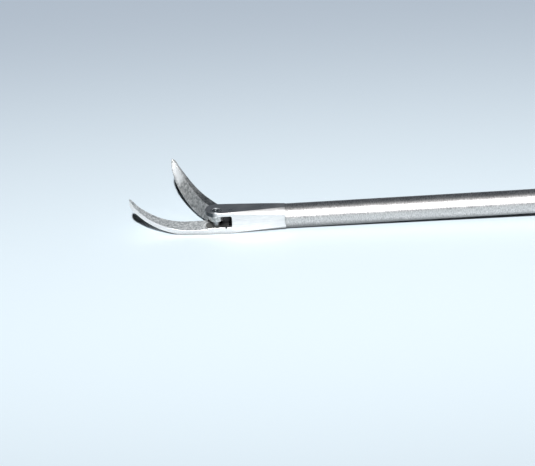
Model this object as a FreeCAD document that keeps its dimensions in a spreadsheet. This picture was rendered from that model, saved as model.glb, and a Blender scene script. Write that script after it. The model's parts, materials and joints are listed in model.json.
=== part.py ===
import FreeCAD, Part
import math
import os
import Sketcher

# Arthroscopic scissors, 3.5 mm shaft, lying on the flat of the handle.
# X runs along the shaft with the handle towards +X and the blades towards -X.
# Y runs across the jaw: the moving blade opens towards +Y, the rings hang towards -Y.
# Z is up and parallel to the blade pivot. All sizes are millimetres and degrees.

doc = FreeCAD.newDocument("arthroscopic_scissors")

SIZES = [
    # name, value, what it is
    ("axis_height", 4.0, "shaft axis above the resting face"),
    ("working_length", 130.0, "handle front to the tip of the fixed blade"),
    ("tube_diameter", 3.5, "outside of the shaft tube"),
    ("tube_bore", 2.5, "inside of the shaft tube"),
    ("tube_insertion", 12.0, "length of tube held in the handle"),
    ("head_length", 9.97, "blade pivot to the seam with the tube"),
    ("head_front_radius", 2.38, "turned blank at the front of the head"),
    ("head_seam_radius", 1.8, "turned blank at the seam"),
    ("head_half_width", 1.53, "side flats, and the round of the ears"),
    ("head_top", 1.7, "top flat above the shaft axis"),
    ("head_bottom", 1.64, "bottom flat below the shaft axis"),
    ("spigot_length", 3.0, "length of the spigot in the tube"),
    ("spigot_clearance", 0.01, "radial gap of the spigot in the tube"),
    ("slot_floor", 0.62, "floor of the clevis slot below the axis"),
    ("slot_roof", 1.12, "roof of the clevis slot above the axis"),
    ("slot_depth", 2.26, "closed end of the slot behind the pivot"),
    ("slot_corner", 0.3, "corner radius of the closed end"),
    ("slider_bore_end", 7.4, "end of the wide bore behind the pivot"),
    ("pivot_offset", 0.55, "pivot axis off the centre plane, towards -Y"),
    ("pivot_diameter", 0.9, "pivot pin"),
    ("pivot_head_diameter", 1.22, "flush head of the pivot pin"),
    ("pivot_head_depth", 0.16, "depth of that head"),
    ("pivot_clearance", 0.03, "radial running gap of the blade on its pin"),
    ("blade_reach", 12.3, "pivot to the tip of the fixed blade"),
    ("face_drop", 0.8, "mating face below the axis at the root"),
    ("face_flat", 3.75, "radius from the pivot where the blades start to rise"),
    ("tip_rise", 4.77, "rise of the mating face at the fixed tip"),
    ("face_step", 1.6, "radius of the raised land round the pivot"),
    ("land_end", 1.5, "where the lowered face ends behind the pivot"),
    ("fixed_tip_thickness", 0.5, "fixed blade at its tip"),
    ("fixed_back_start", 3.2, "where the back of the fixed blade starts to rise"),
    ("blade_gap", 0.03, "running gap between the mating faces"),
    ("hub_floor", 0.3, "underside of the moving blade's hub above the axis"),
    ("hub_top", 1.09, "top of the hub above the axis"),
    ("hub_radius", 0.95, "round of the hub about the pivot"),
    ("deep_start", 1.8, "radius from the pivot where the blade is full depth"),
    ("crest_start", 3.0, "radius where the top of the moving blade starts to rise"),
    ("tip_overhang", 0.2, "moving blade beyond the tip of the fixed one"),
    ("moving_tip_height", 0.6, "height of the moving blade at its tip"),
    ("edge_lap", 0.2, "cutting edge beyond the pivot line"),
    ("ridge_offset", 0.7, "ridge of the blade from the pivot line"),
    ("opening_angle", 59.0, "angle between the open blades"),
    ("drive_arm", 1.15, "drive pin from the pivot, across the shaft"),
    ("drive_pin_diameter", 0.5, "drive pin"),
    ("drive_clearance", 0.04, "gap of the drive pin in its slot, each side"),
    ("tongue_half_width", 0.42, "half width of the rod's flat tongue"),
    ("tongue_clearance", 0.03, "gap of the tongue to the slot floor and the hub"),
    ("slider_diameter", 2.3, "front guide of the rod"),
    ("slider_start", 3.7, "front of the guide behind the pivot"),
    ("slider_end", 6.4, "rear of the guide behind the pivot"),
    ("rod_diameter", 1.6, "rod in the tube"),
    ("rod_clearance", 0.05, "radial running gap of the rod"),
    ("bush_length", 6.0, "guide bush in the rear of the tube"),
    ("ferrule_radius", 3.6, "turned ferrule at the handle"),
    ("ferrule_length", 14.0, "length of the ferrule in front of the handle"),
    ("ferrule_taper", 5.5, "length of its tapered nose"),
    ("ferrule_nose_radius", 2.3, "front of the nose"),
    ("ferrule_spigot_radius", 2.7, "spigot of the ferrule in the handle"),
    ("ferrule_spigot_length", 4.5, "length of that spigot"),
    ("set_screw_diameter", 2.5, "screw that holds the tube"),
    ("set_screw_place", 8.5, "its distance behind the handle front"),
    ("lever_pivot_place", 24.0, "lever pivot behind the handle front"),
    ("lever_arm", 5.5, "lever pivot above the rod, towards +Y"),
    ("lever_screw_diameter", 3.0, "shank of the lever pivot screw"),
    ("lever_screw_head", 6.0, "head of the lever pivot screw"),
    ("lever_screw_head_depth", 1.0, "depth of that head"),
    ("bush_wall", 0.6, "wall of the lever bush"),
    ("running_clearance", 0.04, "radial running gap at the lever pivot"),
    ("fork_gap", 4.0, "width of the fork in the handle"),
    ("fork_start", 13.0, "front of the fork behind the handle front"),
    ("washer_thickness", 0.25, "thrust washers beside the lever"),
    ("washer_radius", 3.8, "their outer radius"),
    ("lever_side_gap", 0.05, "gap between lever and washer"),
    ("lever_hub_radius", 5.0, "lever round its pivot"),
    ("lever_tang_width", 7.0, "lever in the fork"),
    ("lever_ring_thickness", 6.0, "lever outside the fork"),
    ("eye_slot", 1.5, "slot in the lever for the rod end"),
    ("eye_side_gap", 0.1, "gap beside the eye of the rod end"),
    ("eye_radius", 1.7, "round of the eye"),
    ("cross_pin_diameter", 1.6, "pin through lever and eye"),
    ("cross_pin_clearance", 0.06, "gap of the cross pin in the eye"),
    ("collar_diameter", 3.5, "threaded collar of the rod end"),
    ("collar_length", 3.4, "its length"),
    ("lock_nut_width", 3.1, "lock nut across flats"),
    ("lock_nut_thickness", 1.3, "lock nut"),
    ("stop_pin_diameter", 2.0, "stop for the open lever"),
    ("stop_gap", 0.05, "gap of the open lever to its stop"),
    ("finger_hole_width", 21.0, "finger ring, inside, across"),
    ("finger_hole_length", 30.0, "finger ring, inside, along"),
    ("thumb_hole_diameter", 23.0, "thumb ring, inside"),
    ("ring_band", 4.5, "width of the ring bands"),
    ("arm_root_half", 8.0, "half width of the fixed arm at the block"),
    ("arm_waist_half", 4.6, "half width of the fixed arm at its waist"),
    ("arm_end_half", 6.0, "half width of the fixed arm at its ring"),
    ("block_drop", 7.5, "handle block below the shaft axis"),
    ("block_front", 5.0, "half height of the handle's front face"),
    ("tang_length", 16.5, "lever tang from its pivot"),
    ("arm_overlap", 1.3, "lap of the lever's tang in its arm"),
    ("corner_blend", 2.0, "blend where the arms run into the rings"),
    ("finger_ring_x", 12.0, "finger ring behind the handle front"),
    ("finger_ring_drop", 44.0, "finger ring below the shaft axis"),
    ("thumb_ring_x", 58.0, "open thumb ring behind the handle front"),
    ("thumb_ring_drop", 40.0, "thumb ring below the shaft axis"),
]

sheet = doc.addObject("Spreadsheet::Sheet", "dims")
D = {}
for row, (name, value, meaning) in enumerate(SIZES, start=1):
    sheet.set("A%d" % row, name)
    sheet.set("B%d" % row, str(value))
    sheet.set("C%d" % row, meaning)
    sheet.setAlias("B%d" % row, name)
doc.recompute()
for name, value, meaning in SIZES:
    D[name] = float(sheet.get(name))

V = FreeCAD.Vector
Z_AXIS = V(0, 0, 1)
TURN = {
    "X": FreeCAD.Rotation(V(0, 1, 0), 90),
    "Z": FreeCAD.Rotation(),
}
PIVOT_X = D["blade_reach"] - D["working_length"]
HALF_OPENING = math.radians(D["opening_angle"] / 2)
ROD_TRAVEL = 2 * D["drive_arm"] * math.tan(HALF_OPENING)
PIVOT_EXPR = "dims.blade_reach - dims.working_length"
TRAVEL_EXPR = "2 * dims.drive_arm * tan(dims.opening_angle * 1deg / 2)"
REACH_PAST = 2.0
nodes = []


def bind(obj, prop, expression):
    """Tie a property to the sheet."""
    obj.setExpression(prop, expression)


def place(obj, x, y, z, rotation=None):
    """Tie an object's place to the sheet, with a fixed rotation."""
    if rotation is not None:
        obj.Placement = FreeCAD.Placement(V(0, 0, 0), rotation)
    bind(obj, "Placement.Base.x", x)
    bind(obj, "Placement.Base.y", y)
    bind(obj, "Placement.Base.z", z)


def box(name, x, y, z, length, width, height):
    """A box from its low corner and spans, all given as expressions."""
    made = doc.addObject("Part::Box", name)
    bind(made, "Length", length)
    bind(made, "Width", width)
    bind(made, "Height", height)
    place(made, x, y, z)
    return made


def cylinder(name, radius, height, x, y, z, axis):
    """A cylinder from the centre of its low end."""
    made = doc.addObject("Part::Cylinder", name)
    bind(made, "Radius", radius)
    bind(made, "Height", height)
    place(made, x, y, z, TURN[axis])
    return made


def cone(name, radius_low, radius_high, height, x, y, z, axis):
    made = doc.addObject("Part::Cone", name)
    bind(made, "Radius1", radius_low)
    bind(made, "Radius2", radius_high)
    bind(made, "Height", height)
    place(made, x, y, z, TURN[axis])
    return made


def fuse(name, *shapes):
    made = doc.addObject("Part::MultiFuse", name)
    made.Shapes = list(shapes)
    return made


def common(name, *shapes):
    made = doc.addObject("Part::MultiCommon", name)
    made.Shapes = list(shapes)
    return made


def cut(name, base, *tools):
    """Base less its tools, which are joined first when there are several."""
    tool = tools[0]
    if len(tools) > 1:
        tool = fuse(name + "_tools", *tools)
    made = doc.addObject("Part::Cut", name)
    made.Base = base
    made.Tool = tool
    return made


def round_edges(name, base, radius, wanted):
    """Fillet the edges of base that the test picks."""
    doc.recompute()
    made = doc.addObject("Part::Fillet", name)
    made.Base = base
    edges = base.Shape.Edges
    made.Edges = [(i + 1, radius, radius) for i, edge in enumerate(edges) if wanted(edge)]
    return made


def node(made, label, at_pivot=False):
    """Name a finished sub-part. Those of the jaw are modelled from the pivot's X and the axis."""
    made.Label = label
    if at_pivot:
        bind(made, "Placement.Base.x", PIVOT_EXPR)
        bind(made, "Placement.Base.z", "dims.axis_height")
    nodes.append(made)
    return made


def body(name):
    return doc.addObject("PartDesign::Body", name)


def sketch(owner, role, name):
    """A sketch on one of the body's own origin planes."""
    made = owner.newObject("Sketcher::SketchObject", name)
    plane = [f for f in owner.Origin.OriginFeatures if f.Role == role][0]
    made.AttachmentSupport = [(plane, "")]
    made.MapMode = "FlatFace"
    return made


def outline(made, runs):
    """Straight runs and three-point arcs, joined end to end round a closed outline."""
    ends = []
    for run in runs:
        points = [V(x, y, 0) for x, y in run]
        if len(points) == 2:
            index = made.addGeometry(Part.LineSegment(*points))
        else:
            index = made.addGeometry(Part.Arc(*points))
        start_gap = made.getPoint(index, 1).distanceToPoint(points[0])
        end_gap = made.getPoint(index, 2).distanceToPoint(points[0])
        ends.append((index, 1, 2) if start_gap < end_gap else (index, 2, 1))
    for this, following in zip(ends, ends[1:] + ends[:1]):
        made.addConstraint(
            Sketcher.Constraint("Coincident", this[0], this[2], following[0], following[1]))


def ring_of(points):
    """Turn a closed list of corners into straight runs."""
    return [(points[i], points[(i + 1) % len(points)]) for i in range(len(points))]


def circle(made, radius, x=None, y=None):
    """A circle whose radius and centre are tied to the sheet."""
    index = made.addGeometry(Part.Circle(V(0, 0, 0), Z_AXIS, 1.0))
    number = made.addConstraint(Sketcher.Constraint("Radius", index, 1.0))
    made.setExpression("Constraints[%d]" % number, radius)
    if x is None:
        made.addConstraint(Sketcher.Constraint("Coincident", index, 3, -1, 1))
        return
    number = made.addConstraint(Sketcher.Constraint("DistanceX", -1, 1, index, 3, 1.0))
    made.setExpression("Constraints[%d]" % number, x)
    number = made.addConstraint(Sketcher.Constraint("DistanceY", -1, 1, index, 3, 1.0))
    made.setExpression("Constraints[%d]" % number, y)


def pad(owner, profile, name, length):
    """Pad evenly to both sides of the sketch."""
    made = owner.newObject("PartDesign::Pad", name)
    made.Profile = profile
    made.Midplane = True
    bind(made, "Length", length)
    profile.Visibility = False
    doc.recompute()
    return made


def pocket(owner, profile, name, length):
    """Cut evenly to both sides of the sketch."""
    before = owner.Shape.Volume
    made = owner.newObject("PartDesign::Pocket", name)
    made.Profile = profile
    made.Midplane = True
    bind(made, "Length", length)
    profile.Visibility = False
    doc.recompute()
    if owner.Shape.Volume > before - 1e-6:
        raise RuntimeError(name + " cuts nothing")
    return made


def revolution(owner, profile, name):
    """Turn a profile drawn beside the X axis through a full round."""
    made = owner.newObject("PartDesign::Revolution", name)
    made.Profile = profile
    made.ReferenceAxis = (profile, ["H_Axis"])
    made.Angle = 360
    doc.recompute()
    return made


def turned(name, corners):
    """A body of revolution about X from half-profile corners (along, radius)."""
    owner = body(name)
    profile = sketch(owner, "XY_Plane", name + "_profile")
    outline(profile, ring_of(corners))
    revolution(owner, profile, name + "_turn")
    return owner


def rise_arc(centre, radius, angle):
    """A point on the rising arc of a blade, the angle measured from straight down."""
    return (centre[0] + radius * math.sin(angle), centre[1] - radius * math.cos(angle))


def spun(runs):
    """Turn a closed half profile (radius, height) about the pivot axis, at the origin."""
    edges = []
    for run in runs:
        ends = [V(r, 0, z) for r, z in run]
        if len(ends) == 2:
            edges.append(Part.LineSegment(*ends).toShape())
        else:
            edges.append(Part.Arc(*ends).toShape())
    face = Part.Face(Part.Wire(edges))
    return face.revolve(V(0, 0, 0), Z_AXIS, 360)


def plan_prism(runs, low, high):
    """A plan outline of straight runs, and smooth curves through points, raised along Z."""
    edges = []
    for run in runs:
        ends = [V(x, y, low) for x, y in run]
        if len(ends) == 2:
            edges.append(Part.LineSegment(*ends).toShape())
        elif len(ends) == 3:
            edges.append(Part.Arc(*ends).toShape())
        else:
            curve = Part.BSplineCurve()
            curve.interpolate(ends)
            edges.append(curve.toShape())
    return Part.Face(Part.Wire(edges)).extrude(V(0, 0, high - low))


def rising_arc(start, floor, end):
    """Centre and radius of the arc that leaves (start, floor) level and reaches end."""
    run = end[0] - start
    rise = end[1] - floor
    radius = (run * run + rise * rise) / (2 * rise)
    return (start, floor + radius), radius


# Mating face: both blades lie on one surface of revolution about the pivot.
FACE_CENTRE, FACE_RADIUS = rising_arc(
    D["face_flat"], -D["face_drop"],
    (D["blade_reach"], D["tip_rise"] - D["face_drop"]))
MOVING_REACH = D["blade_reach"] + D["tip_overhang"]
PAST_TIP = 0.05
PLAN_FLOOR = -2 * D["head_bottom"]
PLAN_ROOF = 2 * D["tip_rise"]


def fixed_blade_shape():
    """The fixed blade, one piece with the clevis: a thin plate that curls up to its tip."""
    tip_angle = math.asin((D["blade_reach"] - D["face_flat"]) / FACE_RADIUS) + PAST_TIP
    top_tip = rise_arc(FACE_CENTRE, FACE_RADIUS, tip_angle)
    back_tip = rise_arc(FACE_CENTRE, FACE_RADIUS + D["fixed_tip_thickness"], tip_angle)
    root = -D["head_bottom"]
    centre, radius = rising_arc(D["fixed_back_start"], root, back_tip)
    back_angle = math.asin((back_tip[0] - centre[0]) / radius)
    band = spun([
        ((0, -D["slot_floor"]), (D["face_step"], -D["slot_floor"])),
        ((D["face_step"], -D["slot_floor"]), (D["face_step"], -D["face_drop"])),
        ((D["face_step"], -D["face_drop"]), (D["face_flat"], -D["face_drop"])),
        ((D["face_flat"], -D["face_drop"]),
         rise_arc(FACE_CENTRE, FACE_RADIUS, tip_angle / 2), top_tip),
        (top_tip, back_tip),
        (back_tip, rise_arc(centre, radius, back_angle / 2), (D["fixed_back_start"], root)),
        ((D["fixed_back_start"], root), (0, root)),
        ((0, root), (0, -D["slot_floor"])),
    ])
    band.translate(V(0, -D["pivot_offset"], 0))
    reach = D["blade_reach"]
    wide = D["head_half_width"]
    # Half widths of the plan, as shares of the head's own, at shares of the reach.
    taper = [(0.305, 0.967), (0.48, 0.83), (0.634, 0.725), (0.797, 0.614), (0.92, 0.45)]
    side = [(-reach * along, wide * across) for along, across in taper]
    near = [(x, -y) for x, y in side]
    plan = plan_prism([
        [(0, wide), side[0]],
        side,
        [side[-1], (-reach, 0), near[-1]],
        near[::-1],
        [near[0], (0, -wide)],
        [(0, -wide), (0, wide)],
    ], PLAN_FLOOR, PLAN_ROOF)
    return band.common(plan)


def moving_blade_shape():
    """The moving blade, shut, about its own pivot at the origin."""
    low_radius = FACE_RADIUS - D["blade_gap"]
    low_z = FACE_CENTRE[1] - low_radius
    reach = MOVING_REACH
    tip_angle = math.asin((reach - D["face_flat"]) / low_radius) + PAST_TIP
    low_tip = rise_arc(FACE_CENTRE, low_radius, tip_angle)
    high_tip = (low_tip[0], low_tip[1] + D["moving_tip_height"])
    centre, radius = rising_arc(D["crest_start"], D["hub_top"], high_tip)
    crest_angle = math.asin((high_tip[0] - centre[0]) / radius)
    band = spun([
        ((0, D["hub_floor"]), (D["deep_start"], D["hub_floor"])),
        ((D["deep_start"], D["hub_floor"]), (D["deep_start"], low_z)),
        ((D["deep_start"], low_z), (D["face_flat"], low_z)),
        ((D["face_flat"], low_z), rise_arc(FACE_CENTRE, low_radius, tip_angle / 2), low_tip),
        (low_tip, high_tip),
        (high_tip, rise_arc(centre, radius, crest_angle / 2), (D["crest_start"], D["hub_top"])),
        ((D["crest_start"], D["hub_top"]), (0, D["hub_top"])),
        ((0, D["hub_top"]), (0, D["hub_floor"])),
    ])
    hub = D["hub_radius"]
    lap = D["edge_lap"]
    lobe = D["drive_arm"] / math.cos(HALF_OPENING) + 0.66
    # The outer edge leaves the lobe round the drive slot and narrows to the tip.
    outer = [(-0.07 * reach, lobe), (-0.28 * reach, 1.89), (-0.472 * reach, 1.64),
             (-0.656 * reach, 1.38), (-0.808 * reach, 1.17), (-0.928 * reach, 0.88)]
    neck = D["deep_start"] + 0.4
    plan = plan_prism([
        [(0.3 * hub, 0.95 * hub), (-0.1, 1.5), (-0.4, 1.8), outer[0]],
        outer,
        [outer[-1], (-0.985 * reach, 0.66), (-reach, 0.42)],
        [(-reach, 0.42), (-0.985 * reach, 0.16), (-0.94 * reach, -0.06), (-0.86 * reach, -lap)],
        [(-0.86 * reach, -lap), (-neck, -lap)],
        [(-neck, -lap), (-1.3, -0.55), (-0.7, -0.8), (-0.3 * hub, -0.954 * hub)],
        [(-0.3 * hub, -0.954 * hub), (hub, 0), (0.3 * hub, 0.95 * hub)],
    ], PLAN_FLOOR, PLAN_ROOF)
    blade = band.common(plan)

    sections = []
    for share in (0.155, 0.36, 0.56, 0.78, 0.92, 1.04):
        along = share * reach
        low = low_z
        if along > D["face_flat"]:
            run = along - D["face_flat"]
            low = FACE_CENTRE[1] - math.sqrt(low_radius ** 2 - run ** 2)
        high = D["hub_top"]
        if along > D["crest_start"]:
            high = centre[1] - math.sqrt(radius ** 2 - (along - D["crest_start"]) ** 2)
        ridge = D["ridge_offset"]
        if share > 0.8:
            ridge = D["ridge_offset"] * (1 - 1.6 * (share - 0.8))
        edge = V(-along, -lap, low)
        crest = V(-along, ridge, high)
        slope = (crest - edge) * 0.5
        aside = V(0, -3.0, 0)
        corners = [edge - slope, crest + slope, crest + slope + aside, edge - slope + aside]
        sections.append(Part.makePolygon(corners + corners[:1]))
    blade = blade.cut(Part.makeLoft(sections, True, False))

    # The full depth stops clear of the rod's tongue when the blade is open.
    tongue_side = D["drive_arm"] + D["tongue_half_width"] + 0.1
    room = 4 * D["drive_arm"]
    relief = Part.makeBox(room, room, room, V(0, tongue_side - room, D["hub_floor"] - room))
    relief.rotate(V(0, 0, 0), Z_AXIS, D["opening_angle"])
    blade = blade.cut(relief)

    # Slot for the drive pin, square to the shaft at half stroke, and the pivot hole.
    radius = D["drive_pin_diameter"] / 2 + D["drive_clearance"]
    near = D["drive_arm"] - D["drive_clearance"]
    far = D["drive_arm"] / math.cos(HALF_OPENING) + D["drive_clearance"]
    slot = Part.makeBox(2 * radius, far - near, 3, V(-radius, near, 0))
    for y in (near, far):
        slot = slot.fuse(Part.makeCylinder(radius, 3, V(0, y, 0)))
    slot.rotate(V(0, 0, 0), Z_AXIS, D["opening_angle"] / 2)
    pin = D["pivot_diameter"] / 2 + D["pivot_clearance"]
    blade = blade.cut(slot).cut(Part.makeCylinder(pin, 4, V(0, 0, -1)))
    return blade.removeSplitter()


# Clevis head with the fixed blade, modelled from the pivot's X on the shaft axis.

blank = cone("head_blank", "dims.head_front_radius", "dims.head_seam_radius",
             "dims.head_length + dims.head_half_width",
             "-dims.head_half_width", "0", "0", "X")
flats = box("head_flats", "0", "-dims.head_half_width", "-dims.head_bottom",
            "dims.head_length", "2 * dims.head_half_width", "dims.head_bottom + dims.head_top")
nose = cylinder("head_nose", "dims.head_half_width", "dims.head_bottom + dims.head_top",
                "0", "0", "-dims.head_bottom", "Z")
milled = common("head_milled", blank, fuse("head_plan", flats, nose))
slot_box = box("head_slot_box", "-dims.head_half_width - %g" % REACH_PAST,
               "-dims.head_half_width - %g" % REACH_PAST, "-dims.slot_floor",
               "dims.slot_depth + dims.head_half_width + %g" % REACH_PAST,
               "2 * dims.head_half_width + 2 * %g" % REACH_PAST,
               "dims.slot_floor + dims.slot_roof")
slot = round_edges("head_slot", slot_box, D["slot_corner"],
                   lambda e: abs(e.CenterOfMass.x - D["slot_depth"]) < 1e-6
                   and abs(e.Vertexes[0].Z - e.Vertexes[1].Z) < 1e-6)
clevis = cut("clevis", milled, slot)
blade_form = doc.addObject("Part::Feature", "fixed_blade_form")
blade_form.Shape = fixed_blade_shape()
spigot = cylinder("head_spigot", "dims.tube_bore / 2 - dims.spigot_clearance",
                  "dims.spigot_length + 0.5", "dims.head_length - 0.5", "0", "0", "X")
front_land = cylinder("root_face", "%g" % (D["head_half_width"] * 3), "4",
                      "0", "-dims.pivot_offset", "-dims.face_drop", "Z")
land = cylinder("root_land", "dims.face_step", "4", "0", "-dims.pivot_offset",
                "-dims.face_drop", "Z")
behind = box("root_behind", "dims.land_end", "-5", "-dims.face_drop", "8", "10", "4")
drop = cut("root_drop", front_land, land, behind)
ear_above = box("ear_above", "-6", "-6", "0", "12", "12", "6")
lowered = cut("clevis_lowered", clevis, cut("root_drop_low", drop, ear_above))
bore = cylinder("slider_bore", "dims.slider_diameter / 2 + dims.rod_clearance",
                "dims.slider_bore_end - dims.slot_depth + 0.5",
                "dims.slot_depth - 0.5", "0", "0", "X")
rod_bore = cylinder("rod_bore", "dims.rod_diameter / 2 + dims.rod_clearance",
                    "dims.head_length + dims.spigot_length",
                    "dims.slot_depth", "0", "0", "X")
pin_hole = cylinder("pin_hole", "dims.pivot_diameter / 2", "8",
                    "0", "-dims.pivot_offset", "-4", "Z")
pin_sink = cylinder("pin_sink", "dims.pivot_head_diameter / 2", "dims.pivot_head_depth + 1",
                    "0", "-dims.pivot_offset", "dims.head_top - dims.pivot_head_depth", "Z")
head = cut("jaw_head", fuse("head_solid", lowered, blade_form, spigot),
           bore, rod_bore, pin_hole, pin_sink)
node(head, "jaw_head", at_pivot=True)

pin_shank = cylinder("pin_shank", "dims.pivot_diameter / 2",
                     "dims.head_bottom + dims.head_top - dims.pivot_head_depth",
                     "0", "-dims.pivot_offset", "-dims.head_bottom", "Z")
pin_head = cylinder("pin_head", "dims.pivot_head_diameter / 2", "dims.pivot_head_depth",
                    "0", "-dims.pivot_offset", "dims.head_top - dims.pivot_head_depth", "Z")
pin_dimple = cylinder("pin_dimple", "dims.pivot_diameter / 2 - 0.12", "1",
                      "0", "-dims.pivot_offset", "dims.head_top - 0.12", "Z")
node(cut("blade_pivot_pin", fuse("pin_solid", pin_shank, pin_head), pin_dimple),
     "blade_pivot_pin", at_pivot=True)

# Moving blade, turned open about its pivot.
blade = doc.addObject("Part::Feature", "moving_blade")
blade.Shape = moving_blade_shape()
blade.Placement = FreeCAD.Placement(
    V(PIVOT_X, -D["pivot_offset"], D["axis_height"]),
    FreeCAD.Rotation(Z_AXIS, -D["opening_angle"]))
node(blade, "moving_blade")

# Drive rod at the open end of its travel, half a stroke behind the pivot.
DRIVE_Y = "dims.drive_arm - dims.pivot_offset"
HALF_TRAVEL = "(" + TRAVEL_EXPR + ") / 2"
TONGUE_LOW = "-dims.slot_floor + dims.tongue_clearance"
TONGUE_TALL = "dims.slot_floor + dims.hub_floor - 2 * dims.tongue_clearance"
ROD_REAR = "dims.lever_pivot_place - dims.eye_radius - 1.2"
guide = cylinder("rod_guide", "dims.slider_diameter / 2", "dims.slider_end - dims.slider_start",
                 "dims.slider_start", "0", "0", "X")
tongue_bar = box("tongue_bar", HALF_TRAVEL, DRIVE_Y + " - dims.tongue_half_width", TONGUE_LOW,
                 "dims.slider_start + 0.2 - " + HALF_TRAVEL, "2 * dims.tongue_half_width",
                 TONGUE_TALL)
tongue_nose = cylinder("tongue_nose", "dims.tongue_half_width", TONGUE_TALL,
                       HALF_TRAVEL, DRIVE_Y, TONGUE_LOW, "Z")
tongue_round = cylinder("tongue_round", "dims.slider_diameter / 2",
                        "dims.slider_end + 2", "-2", "0", "0", "X")
tongue = common("tongue", fuse("tongue_flat", tongue_bar, tongue_nose), tongue_round)
shank = cylinder("rod_shank", "dims.rod_diameter / 2",
                 "(" + ROD_REAR + ") - (" + PIVOT_EXPR + ") - dims.slider_end + 0.2",
                 "dims.slider_end - 0.2", "0", "0", "X")
drive_hole = cylinder("drive_hole", "dims.drive_pin_diameter / 2", "4",
                      HALF_TRAVEL, DRIVE_Y, "-2", "Z")
node(cut("drive_rod", fuse("rod_solid", guide, tongue, shank), drive_hole),
     "drive_rod", at_pivot=True)
node(cylinder("drive_pin", "dims.drive_pin_diameter / 2",
              "dims.hub_top + dims.slot_floor - dims.tongue_clearance",
              "(" + PIVOT_EXPR + ") + " + HALF_TRAVEL, DRIVE_Y,
              "dims.axis_height - dims.slot_floor + dims.tongue_clearance", "Z"), "drive_pin")

# Shaft tube, from the seam of the head to its seat in the handle.
tube = body("shaft_tube_body")
tube_face = sketch(tube, "YZ_Plane", "tube_section")
circle(tube_face, "dims.tube_diameter / 2")
circle(tube_face, "dims.tube_bore / 2")
tube_pad = tube.newObject("PartDesign::Pad", "tube_length")
tube_pad.Profile = tube_face
bind(tube_pad, "Length", "dims.working_length - dims.blade_reach - dims.head_length"
     " + dims.tube_insertion")
bind(tube, "Placement.Base.x", "(" + PIVOT_EXPR + ") + dims.head_length")
bind(tube, "Placement.Base.z", "dims.axis_height")
node(tube, "shaft_tube")

bush_outer = cylinder("bush_outer", "dims.tube_bore / 2 - dims.spigot_clearance",
                      "dims.bush_length", "dims.tube_insertion - dims.bush_length",
                      "0", "dims.axis_height", "X")
bush_bore = cylinder("bush_bore", "dims.rod_diameter / 2 + dims.rod_clearance",
                     "dims.bush_length", "dims.tube_insertion - dims.bush_length",
                     "0", "dims.axis_height", "X")
node(cut("rod_guide_bush", bush_outer, bush_bore), "rod_guide_bush")

# Turned ferrule over the tube, with a spigot in the handle.
nose_x = -D["ferrule_length"]
TUBE_R = D["tube_diameter"] / 2
ferrule = turned("tube_ferrule_body", [
    (nose_x, TUBE_R),
    (nose_x, D["ferrule_nose_radius"]),
    (nose_x + D["ferrule_taper"], D["ferrule_radius"]),
    (0, D["ferrule_radius"]),
    (0, D["ferrule_spigot_radius"]),
    (D["ferrule_spigot_length"], D["ferrule_spigot_radius"]),
    (D["ferrule_spigot_length"], TUBE_R),
])
bind(ferrule, "Placement.Base.z", "dims.axis_height")
node(ferrule, "tube_ferrule")

# Fixed handle: block, arm and finger ring from one plate, then its bores and fork.
PX = D["lever_pivot_place"]
PY = D["lever_arm"]
BOSS = D["lever_hub_radius"] + 1.5
RING_X = D["finger_ring_x"]
RING_Y = -D["finger_ring_drop"]
HOLE_R = D["finger_hole_width"] / 2
HOLE_S = (D["finger_hole_length"] - D["finger_hole_width"]) / 2
OUT_R = HOLE_R + D["ring_band"]
BASE_Y = -D["block_drop"]


def stadium(x, y, radius, straight):
    """An upright slot outline, as lines and half rounds."""
    return [
        ((x + radius, y - straight), (x + radius, y + straight)),
        ((x + radius, y + straight), (x, y + straight + radius), (x - radius, y + straight)),
        ((x - radius, y + straight), (x - radius, y - straight)),
        ((x - radius, y - straight), (x, y - straight - radius), (x + radius, y - straight)),
    ]


handle = body("handle_body_solid")
block_plan = sketch(handle, "XY_Plane", "block_plan")
REAR = PX + BOSS + 4.5
shoulder_run = 0.45 * PX
FRONT = D["block_front"]
TOE = D["block_drop"] - D["block_front"]
outline(block_plan, [
    ((0, -FRONT), (0, FRONT)),
    ((0, FRONT), (shoulder_run, 1.12 * FRONT)),
    ((shoulder_run, 1.12 * FRONT), (0.76 * PX, PY + 0.74 * BOSS), (PX, PY + BOSS)),
    ((PX, PY + BOSS), (PX + 0.766 * BOSS, PY + 0.643 * BOSS), (PX + BOSS, PY)),
    ((PX + BOSS, PY), (REAR - 1.2, 0.055 * PY), (REAR, 0.61 * BASE_Y)),
    ((REAR, 0.61 * BASE_Y), (REAR - 0.3 * TOE, 0.89 * BASE_Y), (REAR - TOE, BASE_Y)),
    ((REAR - TOE, BASE_Y), (TOE, BASE_Y)),
    ((TOE, BASE_Y), (0.293 * TOE, BASE_Y + 0.293 * TOE), (0, -FRONT)),
])
pad(handle, block_plan, "block", "2 * dims.axis_height")
arm_plan = sketch(handle, "XY_Plane", "arm_plan")
arm_end = RING_Y + HOLE_S + OUT_R - D["ring_band"] / 2
arm_root = BASE_Y + 1
arm_waist = (BASE_Y + arm_end) / 2
outline(arm_plan, [
    ((RING_X - D["arm_root_half"], arm_root), (RING_X - D["arm_waist_half"], arm_waist),
     (RING_X - D["arm_end_half"], arm_end)),
    ((RING_X - D["arm_end_half"], arm_end), (RING_X + D["arm_end_half"], arm_end)),
    ((RING_X + D["arm_end_half"], arm_end), (RING_X + D["arm_waist_half"], arm_waist),
     (RING_X + D["arm_root_half"], arm_root)),
    ((RING_X + D["arm_root_half"], arm_root), (RING_X - D["arm_root_half"], arm_root)),
])
pad(handle, arm_plan, "arm", "2 * dims.axis_height")
ring_plan = sketch(handle, "XY_Plane", "finger_ring_plan")
outline(ring_plan, stadium(RING_X, RING_Y, OUT_R, HOLE_S))
pad(handle, ring_plan, "finger_ring", "2 * dims.axis_height")
hole_plan = sketch(handle, "XY_Plane", "finger_hole_plan")
outline(hole_plan, stadium(RING_X, RING_Y, HOLE_R, HOLE_S))
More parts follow.
